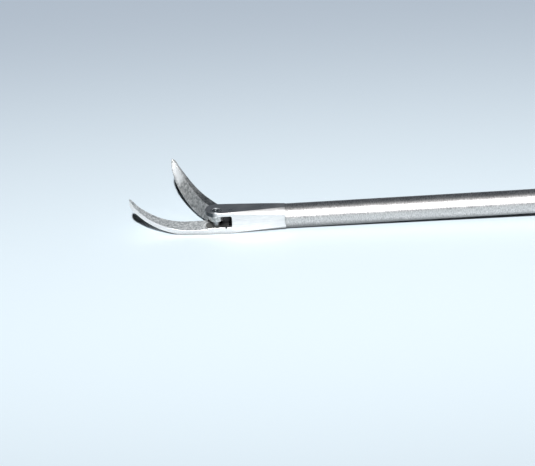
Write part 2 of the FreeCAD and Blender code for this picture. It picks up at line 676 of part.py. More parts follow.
pocket(handle, hole_plan, "finger_hole", "2 * dims.axis_height + 1")


def corner_names(shape):
    """Names of the upright edges at which a plate's outline turns by more than a degree."""
    names = []
    for index, edge in enumerate(shape.Edges, start=1):
        if edge.BoundBox.XLength + edge.BoundBox.YLength > 1e-6:
            continue
        normals = []
        for face in shape.Faces:
            if any(other.isSame(edge) for other in face.Edges):
                u, v = face.Surface.parameter(edge.CenterOfMass)
                normals.append(face.normalAt(u, v))
        if len(normals) == 2 and math.degrees(normals[0].getAngle(normals[1])) > 1:
            names.append("Edge%d" % index)
    return names


def blend_corners(owner, name):
    """Round the upright corners of the plate as it stands."""
    plate = owner.Tip
    made = owner.newObject("PartDesign::Fillet", name)
    made.Base = (plate, corner_names(owner.Shape))
    bind(made, "Radius", "dims.corner_blend")
    doc.recompute()


blend_corners(handle, "handle_corners")
fork_plan = sketch(handle, "XY_Plane", "fork_plan")
fork_end = REAR + 3
outline(fork_plan, ring_of([
    (D["fork_start"], BASE_Y - 1.2), (fork_end, BASE_Y - 1.2),
    (fork_end, PY + BOSS + 3), (D["fork_start"], PY + BOSS + 3)]))
pocket(handle, fork_plan, "fork", "dims.fork_gap")
screw_plan = sketch(handle, "XY_Plane", "pivot_hole_plan")
circle(screw_plan, "dims.lever_screw_diameter / 2", "dims.lever_pivot_place", "dims.lever_arm")
pocket(handle, screw_plan, "pivot_hole", "2 * dims.axis_height + 1")

# Stop pin behind the lever's tang, so that the open lever comes to rest on it.
TANG_LEAN = math.atan2(4.0, 14.5)
ALONG = (math.sin(TANG_LEAN), -math.cos(TANG_LEAN))
ACROSS = (math.cos(TANG_LEAN), math.sin(TANG_LEAN))
STOP_ALONG = 12.0
STOP_OUT = D["lever_tang_width"] / 2 + D["stop_pin_diameter"] / 2 + D["stop_gap"]
STOP_X = PX + STOP_ALONG * ALONG[0] + STOP_OUT * ACROSS[0]
STOP_Y = PY + STOP_ALONG * ALONG[1] + STOP_OUT * ACROSS[1]

bind(handle, "Placement.Base.z", "dims.axis_height")
tube_seat = cylinder("tube_seat", "dims.tube_diameter / 2", "dims.tube_insertion + 1",
                     "-1", "0", "dims.axis_height", "X")
ferrule_seat = cylinder("ferrule_seat", "dims.ferrule_spigot_radius",
                        "dims.ferrule_spigot_length + 1", "-1", "0", "dims.axis_height", "X")
rod_way = cylinder("rod_way", "dims.rod_diameter / 2 + 0.15", "dims.fork_start + 1",
                   "0", "0", "dims.axis_height", "X")
set_hole = cylinder("set_hole", "dims.set_screw_diameter / 2", "dims.axis_height + 1",
                    "dims.set_screw_place", "0", "dims.axis_height", "Z")
head_sink = cylinder("head_sink", "dims.lever_screw_head / 2", "2",
                     "dims.lever_pivot_place", "dims.lever_arm",
                     "2 * dims.axis_height - dims.lever_screw_head_depth", "Z")
stop_hole = cylinder("stop_hole", "dims.stop_pin_diameter / 2", "2 * dims.axis_height + 2",
                     "%.9f" % STOP_X, "%.9f" % STOP_Y, "-1", "Z")
node(cut("handle_body", handle, tube_seat, ferrule_seat, rod_way, set_hole, head_sink, stop_hole),
     "handle_body")
node(cylinder("stop_pin", "dims.stop_pin_diameter / 2", "2 * dims.axis_height - 0.4",
              "%.9f" % STOP_X, "%.9f" % STOP_Y, "0.2", "Z"), "stop_pin")

# Grub screw onto the tube, with a slot for a driver.
screw_low = "dims.axis_height + dims.tube_diameter / 2 + 0.02"
screw_solid = cylinder("set_screw_solid", "dims.set_screw_diameter / 2",
                       "dims.axis_height - dims.tube_diameter / 2 - 0.32",
                       "dims.set_screw_place", "0", screw_low, "Z")
screw_slot = box("set_screw_slot", "dims.set_screw_place - dims.set_screw_diameter", "-0.2",
                 "2 * dims.axis_height - 0.9", "2 * dims.set_screw_diameter", "0.4", "1")
node(cut("ferrule_set_screw", screw_solid, screw_slot), "ferrule_set_screw")

# Lever pivot screw, washers and bush.
shank_tall = "2 * dims.axis_height - dims.lever_screw_head_depth - 0.3"
pivot_shank = cylinder("pivot_screw_shank", "dims.lever_screw_diameter / 2", shank_tall,
                       "dims.lever_pivot_place", "dims.lever_arm", "0.3", "Z")
pivot_head = cylinder("pivot_screw_head", "dims.lever_screw_head / 2",
                      "dims.lever_screw_head_depth - 0.1", "dims.lever_pivot_place",
                      "dims.lever_arm", "2 * dims.axis_height - dims.lever_screw_head_depth", "Z")
pivot_slot = box("pivot_screw_slot", "dims.lever_pivot_place - dims.lever_screw_head",
                 "dims.lever_arm - 0.35", "2 * dims.axis_height - 0.6",
                 "2 * dims.lever_screw_head", "0.7", "1")
node(cut("lever_pivot_screw", fuse("pivot_screw_solid", pivot_shank, pivot_head), pivot_slot),
     "lever_pivot_screw")

WASHER_Z = {
    "lever_washer_lower": "dims.axis_height - dims.fork_gap / 2",
    "lever_washer_upper": "dims.axis_height + dims.fork_gap / 2 - dims.washer_thickness",
}
for washer, low in WASHER_Z.items():
    disc = cylinder(washer + "_disc", "dims.washer_radius", "dims.washer_thickness",
                    "dims.lever_pivot_place", "dims.lever_arm", low, "Z")
    hole = cylinder(washer + "_hole", "dims.lever_screw_diameter / 2 + 0.02",
                    "dims.washer_thickness", "dims.lever_pivot_place", "dims.lever_arm", low, "Z")
    node(cut(washer, disc, hole), washer)

TANG_THICK = "(dims.fork_gap - 2 * dims.washer_thickness - 2 * dims.lever_side_gap)"
tang_low = "dims.axis_height - " + TANG_THICK + " / 2"
bush_radius = "dims.lever_screw_diameter / 2 + dims.running_clearance + dims.bush_wall"
lever_bush = cylinder("lever_bush_solid", bush_radius, TANG_THICK, "dims.lever_pivot_place",
                      "dims.lever_arm", tang_low, "Z")
lever_bore = cylinder("lever_bush_bore", "dims.lever_screw_diameter / 2 + dims.running_clearance",
                      TANG_THICK, "dims.lever_pivot_place", "dims.lever_arm", tang_low, "Z")
node(cut("lever_bush", lever_bush, lever_bore), "lever_bush")

# Thumb lever, open: a thin tang in the fork, then an arm and the thumb ring.
lever = body("thumb_lever_solid")
HUB = D["lever_hub_radius"]
HALF = D["lever_tang_width"] / 2
TANG_LONG = D["tang_length"]
hub_back = math.sqrt(HUB * HUB - HALF * HALF)


def lever_point(along, across):
    """A point given along the tang from the pivot, and across it."""
    return (PX + along * ALONG[0] + across * ACROSS[0], PY + along * ALONG[1] + across * ACROSS[1])


THUMB_X = D["thumb_ring_x"]
THUMB_Y = -D["thumb_ring_drop"]
THUMB_R = D["thumb_hole_diameter"] / 2 + D["ring_band"]
arm_sketch = sketch(lever, "XY_Plane", "lever_arm_plan")
ARM_START = TANG_LONG - D["arm_overlap"]
inner_root = lever_point(ARM_START, -HALF)
outer_root = lever_point(ARM_START, HALF)
inner_end = (THUMB_X - 0.85 * THUMB_R, THUMB_Y + 0.3 * THUMB_R)
outer_end = (THUMB_X - 0.35 * THUMB_R, THUMB_Y + 0.85 * THUMB_R)
inner_mid = (0.62 * inner_root[0] + 0.38 * inner_end[0], 0.3 * inner_root[1] + 0.7 * inner_end[1])
outer_mid = (0.62 * outer_root[0] + 0.38 * outer_end[0], 0.32 * outer_root[1] + 0.68 * outer_end[1])
outline(arm_sketch, [
    (outer_root, outer_mid, outer_end),
    (outer_end, inner_end),
    (inner_end, inner_mid, inner_root),
    (inner_root, outer_root),
])
pad(lever, arm_sketch, "lever_arm_plate", "dims.lever_ring_thickness")
thumb_plan = sketch(lever, "XY_Plane", "thumb_ring_plan")
circle(thumb_plan, "dims.thumb_hole_diameter / 2 + dims.ring_band",
       "dims.thumb_ring_x", "-dims.thumb_ring_drop")
pad(lever, thumb_plan, "thumb_ring", "dims.lever_ring_thickness")
thumb_hole = sketch(lever, "XY_Plane", "thumb_hole_plan")
circle(thumb_hole, "dims.thumb_hole_diameter / 2", "dims.thumb_ring_x", "-dims.thumb_ring_drop")
pocket(lever, thumb_hole, "thumb_hole", "dims.lever_ring_thickness + 1")
blend_corners(lever, "lever_corners")
tang_plan = sketch(lever, "XY_Plane", "tang_plan")
outline(tang_plan, [
    (lever_point(hub_back, HALF), lever_point(TANG_LONG, HALF)),
    (lever_point(TANG_LONG, HALF), lever_point(TANG_LONG, -HALF)),
    (lever_point(TANG_LONG, -HALF), lever_point(hub_back, -HALF)),
    (lever_point(hub_back, -HALF), lever_point(-HUB, 0), lever_point(hub_back, HALF)),
])
pad(lever, tang_plan, "tang", TANG_THICK)
bind(lever, "Placement.Base.z", "dims.axis_height")
bush_hole = cylinder("lever_bush_hole", bush_radius, "6", "dims.lever_pivot_place",
                     "dims.lever_arm", "dims.axis_height - 3", "Z")
PIN_X = "dims.lever_pivot_place + " + HALF_TRAVEL
eye_room = box("eye_room", "dims.lever_pivot_place - 8", "-dims.eye_radius - 1.2",
               "dims.axis_height - dims.eye_slot / 2", "16", "2 * dims.eye_radius + 2.2",
               "dims.eye_slot")
pin_seat = cylinder("cross_pin_seat", "dims.cross_pin_diameter / 2", "8",
                    PIN_X, "0", "dims.axis_height - 4", "Z")
node(cut("thumb_lever", lever, bush_hole, eye_room, pin_seat), "thumb_lever")
node(cylinder("lever_cross_pin", "dims.cross_pin_diameter / 2", TANG_THICK,
              PIN_X, "0", tang_low, "Z"), "lever_cross_pin")

# Rod end: a collar screwed on the rod, with a flat eye between the lever's cheeks.
EYE_THICK = "dims.eye_slot - 2 * dims.eye_side_gap"
rear = "(" + ROD_REAR + ")"
collar = cylinder("rod_end_collar", "dims.collar_diameter / 2", "dims.collar_length",
                  rear + " - dims.collar_length - 1.4", "0", "dims.axis_height", "X")
flat = box("rod_end_flat", rear + " - 1.6", "-dims.eye_radius",
           "dims.axis_height - dims.eye_slot / 2 + dims.eye_side_gap",
           PIN_X + " - " + rear + " + 1.6", "2 * dims.eye_radius", EYE_THICK)
eye = cylinder("rod_end_round", "dims.eye_radius", EYE_THICK, PIN_X, "0",
               "dims.axis_height - dims.eye_slot / 2 + dims.eye_side_gap", "Z")
eye_hole = cylinder("rod_end_hole", "dims.cross_pin_diameter / 2 + dims.cross_pin_clearance", "4",
                    PIN_X, "0", "dims.axis_height - 2", "Z")
rod_hole = cylinder("rod_end_bore", "dims.rod_diameter / 2", "9", rear + " - 9", "0",
                    "dims.axis_height", "X")
node(cut("rod_end_eye", fuse("rod_end_solid", collar, flat, eye), eye_hole, rod_hole),
     "rod_end_eye")
nut = doc.addObject("Part::Prism", "lock_nut_solid")
nut.Polygon = 6
bind(nut, "Circumradius", "dims.lock_nut_width / sqrt(3)")
bind(nut, "Height", "dims.lock_nut_thickness")
nut_x = rear + " - dims.collar_length - 1.4 - dims.lock_nut_thickness"
place(nut, nut_x, "0", "dims.axis_height", TURN["X"])
nut_bore = cylinder("lock_nut_bore", "dims.rod_diameter / 2", "dims.lock_nut_thickness + 2",
                    nut_x + " - 1", "0", "dims.axis_height", "X")
node(cut("rod_end_lock_nut", nut, nut_bore), "rod_end_lock_nut")

doc.recompute()
for obj in doc.Objects:
    if "Invalid" in obj.State or "Error" in obj.State:
        raise RuntimeError("failed: " + obj.Label)
os.makedirs("parts", exist_ok=True)
for made in nodes:
    shape = made.Shape
    if shape.isNull() or not shape.isValid() or not shape.Solids:
        raise RuntimeError("bad shape: " + made.Label)
for made in nodes:
    made.Shape.exportStep("parts/" + made.Label + ".step")
    bound = made.Shape.BoundBox
    print("%-20s solids %d volume %9.3f  x %8.2f %8.2f  y %7.2f %7.2f  z %6.2f %6.2f" % (
        made.Label, len(made.Shape.Solids), made.Shape.Volume, bound.XMin, bound.XMax,
        bound.YMin, bound.YMax, bound.ZMin, bound.ZMax))
print("rod travel %.4f" % ROD_TRAVEL)
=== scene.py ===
import json
import math

import bmesh
import bpy
from mathutils import Matrix, Vector


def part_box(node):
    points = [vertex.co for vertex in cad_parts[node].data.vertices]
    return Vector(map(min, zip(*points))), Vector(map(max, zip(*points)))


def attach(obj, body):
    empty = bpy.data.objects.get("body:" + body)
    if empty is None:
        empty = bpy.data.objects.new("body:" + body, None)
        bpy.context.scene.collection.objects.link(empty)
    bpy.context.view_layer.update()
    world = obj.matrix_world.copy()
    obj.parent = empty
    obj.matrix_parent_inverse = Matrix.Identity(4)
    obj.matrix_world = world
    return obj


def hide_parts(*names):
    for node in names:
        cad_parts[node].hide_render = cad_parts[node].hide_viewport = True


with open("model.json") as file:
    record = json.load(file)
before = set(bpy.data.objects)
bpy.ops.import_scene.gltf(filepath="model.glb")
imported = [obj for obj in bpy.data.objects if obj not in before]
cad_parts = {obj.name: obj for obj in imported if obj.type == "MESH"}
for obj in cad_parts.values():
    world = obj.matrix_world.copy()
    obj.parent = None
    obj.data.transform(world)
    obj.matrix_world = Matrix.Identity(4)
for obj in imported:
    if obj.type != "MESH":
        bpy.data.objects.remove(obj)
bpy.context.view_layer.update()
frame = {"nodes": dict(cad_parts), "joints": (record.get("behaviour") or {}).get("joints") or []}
nodes = frame["nodes"]
MM = 0.001

joints = {joint["name"]: joint for joint in frame["joints"]}
PIVOT = Vector(joints["blade_hinge"]["pos_m"])
SHAFT_Z = PIVOT.z
AXIS_POINT = Vector((PIVOT.x, 0.0, SHAFT_Z))


# Camera, as the photograph was taken: a long lens, 27 degrees above the table.

PHOTO_WIDTH = 535
PHOTO_HEIGHT = 466
TUBE_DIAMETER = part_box("shaft_tube")[1].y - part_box("shaft_tube")[0].y
TUBE_PIXELS = 24.3
PIXEL = TUBE_DIAMETER / TUBE_PIXELS
PIVOT_PIXEL = (216.3, 219.5)
CAMERA_ELEVATION = math.radians(27.0)
CAMERA_ROLL = math.radians(3.35)
CAMERA_DISTANCE = 0.45


def make_camera():
    """Place the camera so that the shaft axis at the pivot falls on its pixel."""
    level = Vector((1.0, 0.0, 0.0))
    back = Vector((0.0, -math.cos(CAMERA_ELEVATION), math.sin(CAMERA_ELEVATION)))
    above = back.cross(level)
    right = level * math.cos(CAMERA_ROLL) - above * math.sin(CAMERA_ROLL)
    up = level * math.sin(CAMERA_ROLL) + above * math.cos(CAMERA_ROLL)
    off_right = (PIVOT_PIXEL[0] - PHOTO_WIDTH / 2) * PIXEL
    off_up = (PHOTO_HEIGHT / 2 - PIVOT_PIXEL[1]) * PIXEL
    centre = AXIS_POINT - right * off_right - up * off_up
    data = bpy.data.cameras.new("photo_camera")
    data.sensor_width = 36.0
    data.sensor_fit = "HORIZONTAL"
    data.lens = 36.0 * CAMERA_DISTANCE / (PHOTO_WIDTH * PIXEL)
    data.clip_start = 0.01
    data.clip_end = 20.0
    camera = bpy.data.objects.new("photo_camera", data)
    bpy.context.scene.collection.objects.link(camera)
    turn = Matrix((right, up, back)).transposed()
    camera.matrix_world = Matrix.Translation(centre + back * CAMERA_DISTANCE) @ turn.to_4x4()
    bpy.context.scene.camera = camera


# Node and colour helpers. MIDDLE is the part of a noise's range that it mostly fills.

def linear(code):
    """An sRGB hex colour as linear RGBA."""
    channels = [int(code[i:i + 2], 16) / 255 for i in (1, 3, 5)]
    curved = [c / 12.92 if c <= 0.04045 else ((c + 0.055) / 1.055) ** 2.4 for c in channels]
    return (*curved, 1.0)


MAP = "ShaderNodeMapRange"
MIX = "ShaderNodeMix"
MATH = "ShaderNodeMath"
VECTOR = "ShaderNodeVectorMath"
SPLIT = "ShaderNodeSeparateXYZ"
COLOURS = {"data_type": "RGBA"}
MULTIPLY = {"operation": "MULTIPLY"}
SMOOTH = {"interpolation_type": "SMOOTHSTEP"}
MIDDLE = {"From_Min": 0.3, "From_Max": 0.7}
FALLING = {"To_Min": 1.0, "To_Max": 0.0}


def put(tree, kind, settings=None, **inputs):
    """Add a node, set its properties, and set or link its inputs by name or number.

    A node given for an input is linked by the first of its outputs that is in use.
    """
    made = tree.nodes.new(kind)
    for name, value in (settings or {}).items():
        setattr(made, name, value)
    for name, value in inputs.items():
        key = int(name[1:]) if name[0] == "i" and name[1:].isdigit() else name.replace("_", " ")
        if isinstance(value, bpy.types.Node):
            value = next(socket for socket in value.outputs if socket.enabled)
        if isinstance(value, bpy.types.NodeSocket):
            tree.links.new(value, made.inputs[key])
        else:
            made.inputs[key].default_value = value
    return made


def new_material(name):
    made = bpy.data.materials.new(name)
    made.use_nodes = True
    made.node_tree.nodes.clear()
    return made, made.node_tree


def stretched_noise(tree, cell_mm, detail=3.0, roughness=0.6):
    """Noise whose grain has the given size along X, Y and Z of the object."""
    coords = put(tree, "ShaderNodeTexCoord")
    scale = [1.0 / (size * MM) for size in cell_mm]
    mapped = put(tree, "ShaderNodeMapping", Vector=coords.outputs["Object"], Scale=scale)
    return put(tree, "ShaderNodeTexNoise", Vector=mapped, Scale=1.0, Detail=detail,
               Roughness=roughness)


SMUDGE_MM = (2.5, 2.5, 2.5)
# Colour of the painted shade that ambient occlusion lays into recesses and near the table.
PAINTED_SHADE_COLOUR = "#0c0d0e"


def steel(name, light, dark, roughness, cell_mm, depth_mm, edge_mm=0.05, smudge=0.05,
          painted_shade_share=0.0, reach_mm=1.0, over=None):
    """Stainless steel: a fine grain in roughness and relief, faint smudges, softened edges.

    The painted-shade share darkens recesses, and faces near the table, with painted shade up to
    that share, within the given reach. over is a function that lays a second surface over part of
    the finish.
    """
    material, tree = new_material(name)
    grain = stretched_noise(tree, cell_mm)
    clouds = stretched_noise(tree, SMUDGE_MM, 4.0)
    share = put(tree, MAP, Value=grain, **MIDDLE)
    colour = put(tree, MIX, COLOURS, Factor=share, i6=linear(dark), i7=linear(light))
    fine = put(tree, MAP, Value=grain, To_Min=-0.5 * smudge, To_Max=0.5 * smudge, **MIDDLE)
    cloudy = put(tree, MAP, Value=clouds, To_Min=roughness - smudge, To_Max=roughness + smudge,
                 **MIDDLE)
    rough = put(tree, MATH, {"operation": "ADD"}, i0=fine, i1=cloudy)
    height = grain
    if over:
        colour, rough, height = over(tree, colour, rough, height)
    # Painted shade: where ambient occlusion finds a recess or the table close by, the colour
    # darkens.
    if painted_shade_share:
        open_air = put(tree, "ShaderNodeAmbientOcclusion", {"samples": 8}, Distance=reach_mm * MM)
        darkened = put(tree, MAP, Value=open_air.outputs["AO"], From_Min=0.3, From_Max=0.85,
                     To_Min=painted_shade_share, To_Max=0.0)
        colour = put(tree, MIX, COLOURS, Factor=darkened, i6=colour, i7=linear(PAINTED_SHADE_COLOUR))
    edges = put(tree, "ShaderNodeBevel", {"samples": 6}, Radius=edge_mm * MM)
    relief = put(tree, "ShaderNodeBump", Strength=0.6, Distance=depth_mm * MM, Height=height,
                 Normal=edges)
    shader = put(tree, "ShaderNodeBsdfPrincipled", Base_Color=colour, Metallic=1.0,
                 Roughness=rough, Normal=relief)
    put(tree, "ShaderNodeOutputMaterial", Surface=shader)
    return material


# The fixed blade's upward face and the ear, in millimetres from the pivot or the shaft's axis.
# The face ends under the ear. Near the pivot it is a dark land, which a painted highlight of the
# step surrounds.

PIT_MM = (0.3, 0.3, 0.3)
FACE_ENDS = (0.2, 0.6)
EAR_UNDERSIDE = (1.6, 1.65)
TIP_STARTS = (-2.6, -2.4)
LAND_EDGE = (1.5, 1.6)
STEP_EDGE = (1.95, 2.1)
NOSE_EDGE = (2.0, 2.2)
NOSE_FRONT = (-0.5, 0.3)
NOSE_HEIGHT = (0.3, 0.4)


def between(pair, origin=0.0):
    """The From settings of a Map Range, for two distances in millimetres from an origin."""
    return {"From_Min": origin + pair[0] * MM, "From_Max": origin + pair[1] * MM}


def eroded_face(tree, colour, rough, height):
    """The fixed blade's upward face: pitted and matt, with a dark land round the pivot and a
    painted highlight at its step; painted shade on the ear's nose.
    """
    coords = put(tree, "ShaderNodeTexCoord")
    at = put(tree, SPLIT, Vector=coords.outputs["Object"])
    shape = put(tree, "ShaderNodeNewGeometry")
    way = put(tree, SPLIT, Vector=shape.outputs["True Normal"])
    ahead = put(tree, MAP, Value=at.outputs["X"], **between(FACE_ENDS, PIVOT.x), **FALLING)
    under_ear = put(tree, MAP, Value=at.outputs["Z"], **between(EAR_UNDERSIDE, SHAFT_Z),
                    **FALLING)
    on_tip = put(tree, MAP, Value=at.outputs["X"], **between(TIP_STARTS, PIVOT.x), **FALLING)
    low = put(tree, MATH, {"operation": "MAXIMUM"}, i0=under_ear, i1=on_tip)
    up = put(tree, MAP, Value=way.outputs["Z"], From_Min=0.2, From_Max=0.35)
    both = put(tree, MATH, MULTIPLY, i0=ahead, i1=up)
    here = put(tree, MATH, MULTIPLY, i0=both, i1=low)

    pits = stretched_noise(tree, PIT_MM, 4.0, 0.6)
    share = put(tree, MAP, Value=pits, From_Min=0.36, From_Max=0.62)
    pitted = put(tree, MIX, COLOURS, Factor=share, i6=linear("#acafb0"), i7=linear("#eeeeed"))
    flat = put(tree, "ShaderNodeCombineXYZ", X=at.outputs["X"], Y=at.outputs["Y"])
    out = put(tree, VECTOR, {"operation": "DISTANCE"}, i0=flat, i1=(PIVOT.x, PIVOT.y, 0.0))
    # Painted highlight: a bright ring where the step's wall stands.
    step = put(tree, MAP, Value=out, **between(STEP_EDGE), **FALLING)
    step_highlighted = put(tree, MIX, COLOURS, Factor=step, i6=pitted, i7=linear("#f6f6f5"))
    land = put(tree, MAP, Value=out, **between(LAND_EDGE), **FALLING)
    darkened = put(tree, MIX, COLOURS, Factor=land, i6=step_highlighted, i7=linear("#8b8986"))
    faced = put(tree, MIX, COLOURS, Factor=here, i6=colour, i7=darkened)

    # The ear's rounded nose is given painted shade, darker than the flats.
    nose = put(tree, MAP, Value=out, **between(NOSE_EDGE), **FALLING)
    forward = put(tree, MAP, Value=at.outputs["X"], **between(NOSE_FRONT, PIVOT.x), **FALLING)
    upper = put(tree, MAP, Value=at.outputs["Z"], **between(NOSE_HEIGHT, SHAFT_Z))
    wall = put(tree, MAP, Value=way.outputs["Z"], From_Min=0.3, From_Max=0.6, **FALLING)
    sides = put(tree, MATH, MULTIPLY, i0=nose, i1=forward)
    heights = put(tree, MATH, MULTIPLY, i0=upper, i1=wall)
    nose_shaded = put(tree, MATH, MULTIPLY, i0=sides, i1=heights)
    colour = put(tree, MIX, COLOURS, Factor=nose_shaded, i6=faced, i7=linear("#484b4e"))

    matt = put(tree, MAP, Value=pits, To_Min=0.62, To_Max=0.82, **MIDDLE)
    rough = put(tree, MIX, Factor=here, A=rough, B=matt)
    deep = put(tree, MAP, Value=pits, To_Min=-2.5, To_Max=2.5, **MIDDLE)
    height = put(tree, MIX, Factor=here, A=height, B=deep)
    return colour, rough, height


TIP_HIGHLIGHT_FROM = (9.9, 10.7)
HIGHLIGHT_STOP_BEFORE_POINT = (-0.9, -0.3)
HIGHLIGHT_INSET_MM = 0.7


def painted_tip_highlight(tree, colour, rough, height):
    """The moving blade's tip: a painted white highlight inside a rim left unpainted, short of its
    very point.
    """
    tip = max((vert.co - PIVOT).length for vert in nodes["moving_blade"].data.vertices)
    coords = put(tree, "ShaderNodeTexCoord")
    out = put(tree, VECTOR, {"operation": "DISTANCE"}, i0=coords.outputs["Object"], i1=PIVOT)
    past = put(tree, MAP, Value=out, To_Max=0.85, **between(TIP_HIGHLIGHT_FROM))
    short = put(tree, MAP, Value=out, **between(HIGHLIGHT_STOP_BEFORE_POINT, tip), **FALLING)
    shape = put(tree, "ShaderNodeNewGeometry")
    rounded = put(tree, "ShaderNodeBevel", {"samples": 8}, Radius=HIGHLIGHT_INSET_MM * MM)
    bent = put(tree, VECTOR, {"operation": "DOT_PRODUCT"}, i0=rounded,
               i1=shape.outputs["True Normal"])
    inside = put(tree, MAP, Value=bent, From_Min=0.86, From_Max=0.985)
    length = put(tree, MATH, MULTIPLY, i0=past, i1=short)
    patch = put(tree, MATH, MULTIPLY, i0=length, i1=inside)
    # Painted highlight: pure white laid over the finish near the tip.
    colour = put(tree, MIX, COLOURS, Factor=patch, i6=colour, i7=linear("#ffffff"))
    return colour, rough, height


def give(material, *names):
    for name in names:
        slots = nodes[name].data.materials
        slots.clear()
        slots.append(material)


# Finishes, each with what it gives the eye. Grain sizes are in millimetres along X, Y and Z.

def finish_all():
    # Centreless ground: rings round the tube. They are drawn at 0.15 mm, coarser than the
    # real ones, so that they show as a faint speckle along the bright band.
    # Painted shade darkens its lower edge, where the table comes within reach.
    ground = steel("ground_stainless_tube", "#ece7e4", "#aeaaa8", 0.34, (0.15, 0.35, 0.35), 0.004,
                   painted_shade_share=0.8, reach_mm=2.4)
    give(ground, "shaft_tube")
    # Satin flats, near white, with faint marks along the shaft, and the eroded face. Painted shade
    # darkens the window and the lower edge by the table.
    milled = steel("satin_milled_stainless", "#fdf8f5", "#e8e4e2", 0.33, (1.2, 0.12, 0.12), 0.002,
                   edge_mm=0.06, painted_shade_share=0.97, over=eroded_face)
    give(milled, "jaw_head")
    # Glass-bead blasted: a coarse gray mottle, matt and pitted, with a painted highlight on the
    # tip and painted shade in its recesses.
    blasted = steel("bead_blasted_stainless", "#dbd9d7", "#7e807f", 0.42, (0.38, 0.38, 0.38), 0.03,
                    edge_mm=0.09, painted_shade_share=0.8, over=painted_tip_highlight)
    give(blasted, "moving_blade")
    # Turned on a lathe: brighter, with fine rings across the shaft.
    turned = steel("turned_stainless", "#d4d6d7", "#bcbfc1", 0.24, (0.15, 4.0, 4.0), 0.003)
    give(turned, "tube_ferrule", "ferrule_set_screw", "rod_end_eye", "rod_end_lock_nut")
    # Ground pins, screws and washers: the smoothest steel here, with crisp highlights.
    pin = steel("ground_stainless_pin", "#dcdddd", "#c5c7c8", 0.2, (0.3, 0.3, 0.05), 0.001)
    give(pin, "stop_pin", "lever_cross_pin", "lever_pivot_screw", "lever_washer_lower",
         "lever_washer_upper")
    # Peened pins of the jaw: hammered dull, with painted shade in the dimple.
    jaw_pin = steel("peened_stainless_pin", "#c9cbcc", "#8f9294", 0.3, (0.2, 0.2, 0.2), 0.004,
                    edge_mm=0.12, painted_shade_share=0.95)
    give(jaw_pin, "blade_pivot_pin", "drive_pin")
    # Rod painted a dull graphite, near black, as painted shade, so that the window looks dark.
    shade_dark_rod = steel("rod_painted_dark_for_shade", "#232425", "#18191a", 0.5, (0.2, 0.1, 0.1), 0.002,
                   painted_shade_share=0.95)
    give(shade_dark_rod, "drive_rod")
    # Sintered bronze: brown-gold, porous and dull.
    bronze = steel("sintered_bearing_bronze", "#b48a52", "#8a6436", 0.42, (0.12, 0.12, 0.12), 0.01)
    give(bronze, "rod_guide_bush", "lever_bush")


# Handle and lever: plates whose rims have been rounded over, as a hand tool's are.

RIM_ROUND = 1.3 * MM
RIM_STEPS = 4
OUTSIDE = 0.004 * MM
SMALLEST_OUTLINE = 50.0 * MM * MM
SAME_PLACE = 1e-7
SHARP_ANGLE = math.radians(32.0)


def reworked(mesh, work):
    """Change a mesh through bmesh."""
    form = bmesh.new()
    form.from_mesh(mesh)
    work(form)
    form.to_mesh(mesh)
    form.free()


def weld(form):
    bmesh.ops.remove_doubles(form, verts=form.verts, dist=SAME_PLACE)


def weld_and_turn_out(form):
    weld(form)
    bmesh.ops.recalc_face_normals(form, faces=form.faces)


def drop_slivers(form):
    bmesh.ops.dissolve_degenerate(form, edges=form.edges, dist=2 * SAME_PLACE)
    bmesh.ops.triangulate(form, faces=form.faces)


def plate_outlines(node):
    """The height of a plate's top face and its closed outlines, largest first."""
    mesh = nodes[node].data
    top = max(vert.co.z for vert in mesh.vertices)
    spot = {vert.index: (round(vert.co.x, 7), round(vert.co.y, 7)) for vert in mesh.vertices
            if top - vert.co.z < 1e-6}
    runs = set()
    mesh.calc_loop_triangles()
    for tri in mesh.loop_triangles:
        if not all(index in spot for index in tri.vertices):
            continue
        corners = [spot[index] for index in tri.vertices]
        runs.update(zip(corners, corners[1:] + corners[:1]))
    onward = {a: b for a, b in sorted(runs) if (b, a) not in runs}
    outlines = []
    while onward:
        start, here = onward.popitem()
        loop = [start]
        while here not in (start, None):
            loop.append(here)
            here = onward.pop(here, None)
        if here is None:
            continue
        pairs = zip(loop, loop[1:] + loop[:1])
        area = abs(sum(a[0] * b[1] - b[0] * a[1] for a, b in pairs)) / 2
        if area > SMALLEST_OUTLINE:
            outlines.append((area, loop))
    return top, [loop for area, loop in sorted(outlines, reverse=True)]


def mesh_object(name, mesh):
    made = bpy.data.objects.new(name, mesh)
    bpy.context.scene.collection.objects.link(made)
    return made


def rounded_plate(name, outlines, middle, half):
    """A plate with its rims rounded over, a hair outside the given outlines."""
    curve = bpy.data.curves.new(name, "CURVE")
    curve.dimensions = "2D"
    curve.fill_mode = "BOTH"
    curve.extrude = half - RIM_ROUND
    curve.bevel_depth = RIM_ROUND
    curve.bevel_resolution = RIM_STEPS
    curve.offset = OUTSIDE - RIM_ROUND
    for loop in outlines:
        spline = curve.splines.new("POLY")
        spline.points.add(len(loop) - 1)
        for point, (x, y) in zip(spline.points, loop):
            point.co = (x, y, 0.0, 1.0)
        spline.use_cyclic_u = True
    shape = mesh_object(name, curve)
    bpy.context.view_layer.update()
    mesh = bpy.data.meshes.new_from_object(shape)
    bpy.data.objects.remove(shape)
    mesh.transform(Matrix.Translation((0.0, 0.0, middle)))
    reworked(mesh, weld_and_turn_out)
    return mesh


def combined(first, second, operation):
    """The first mesh joined with or cut to the second, as a new mesh."""
    keep = mesh_object("keep", first)
    tool = mesh_object("tool", second)
    step = keep.modifiers.new("combine", "BOOLEAN")
    step.operation = operation
    step.solver = "EXACT"
    step.object = tool
    bpy.context.view_layer.update()
    made = bpy.data.meshes.new_from_object(
        keep.evaluated_get(bpy.context.evaluated_depsgraph_get()))
    bpy.data.objects.remove(keep)
    bpy.data.objects.remove(tool)
    return made


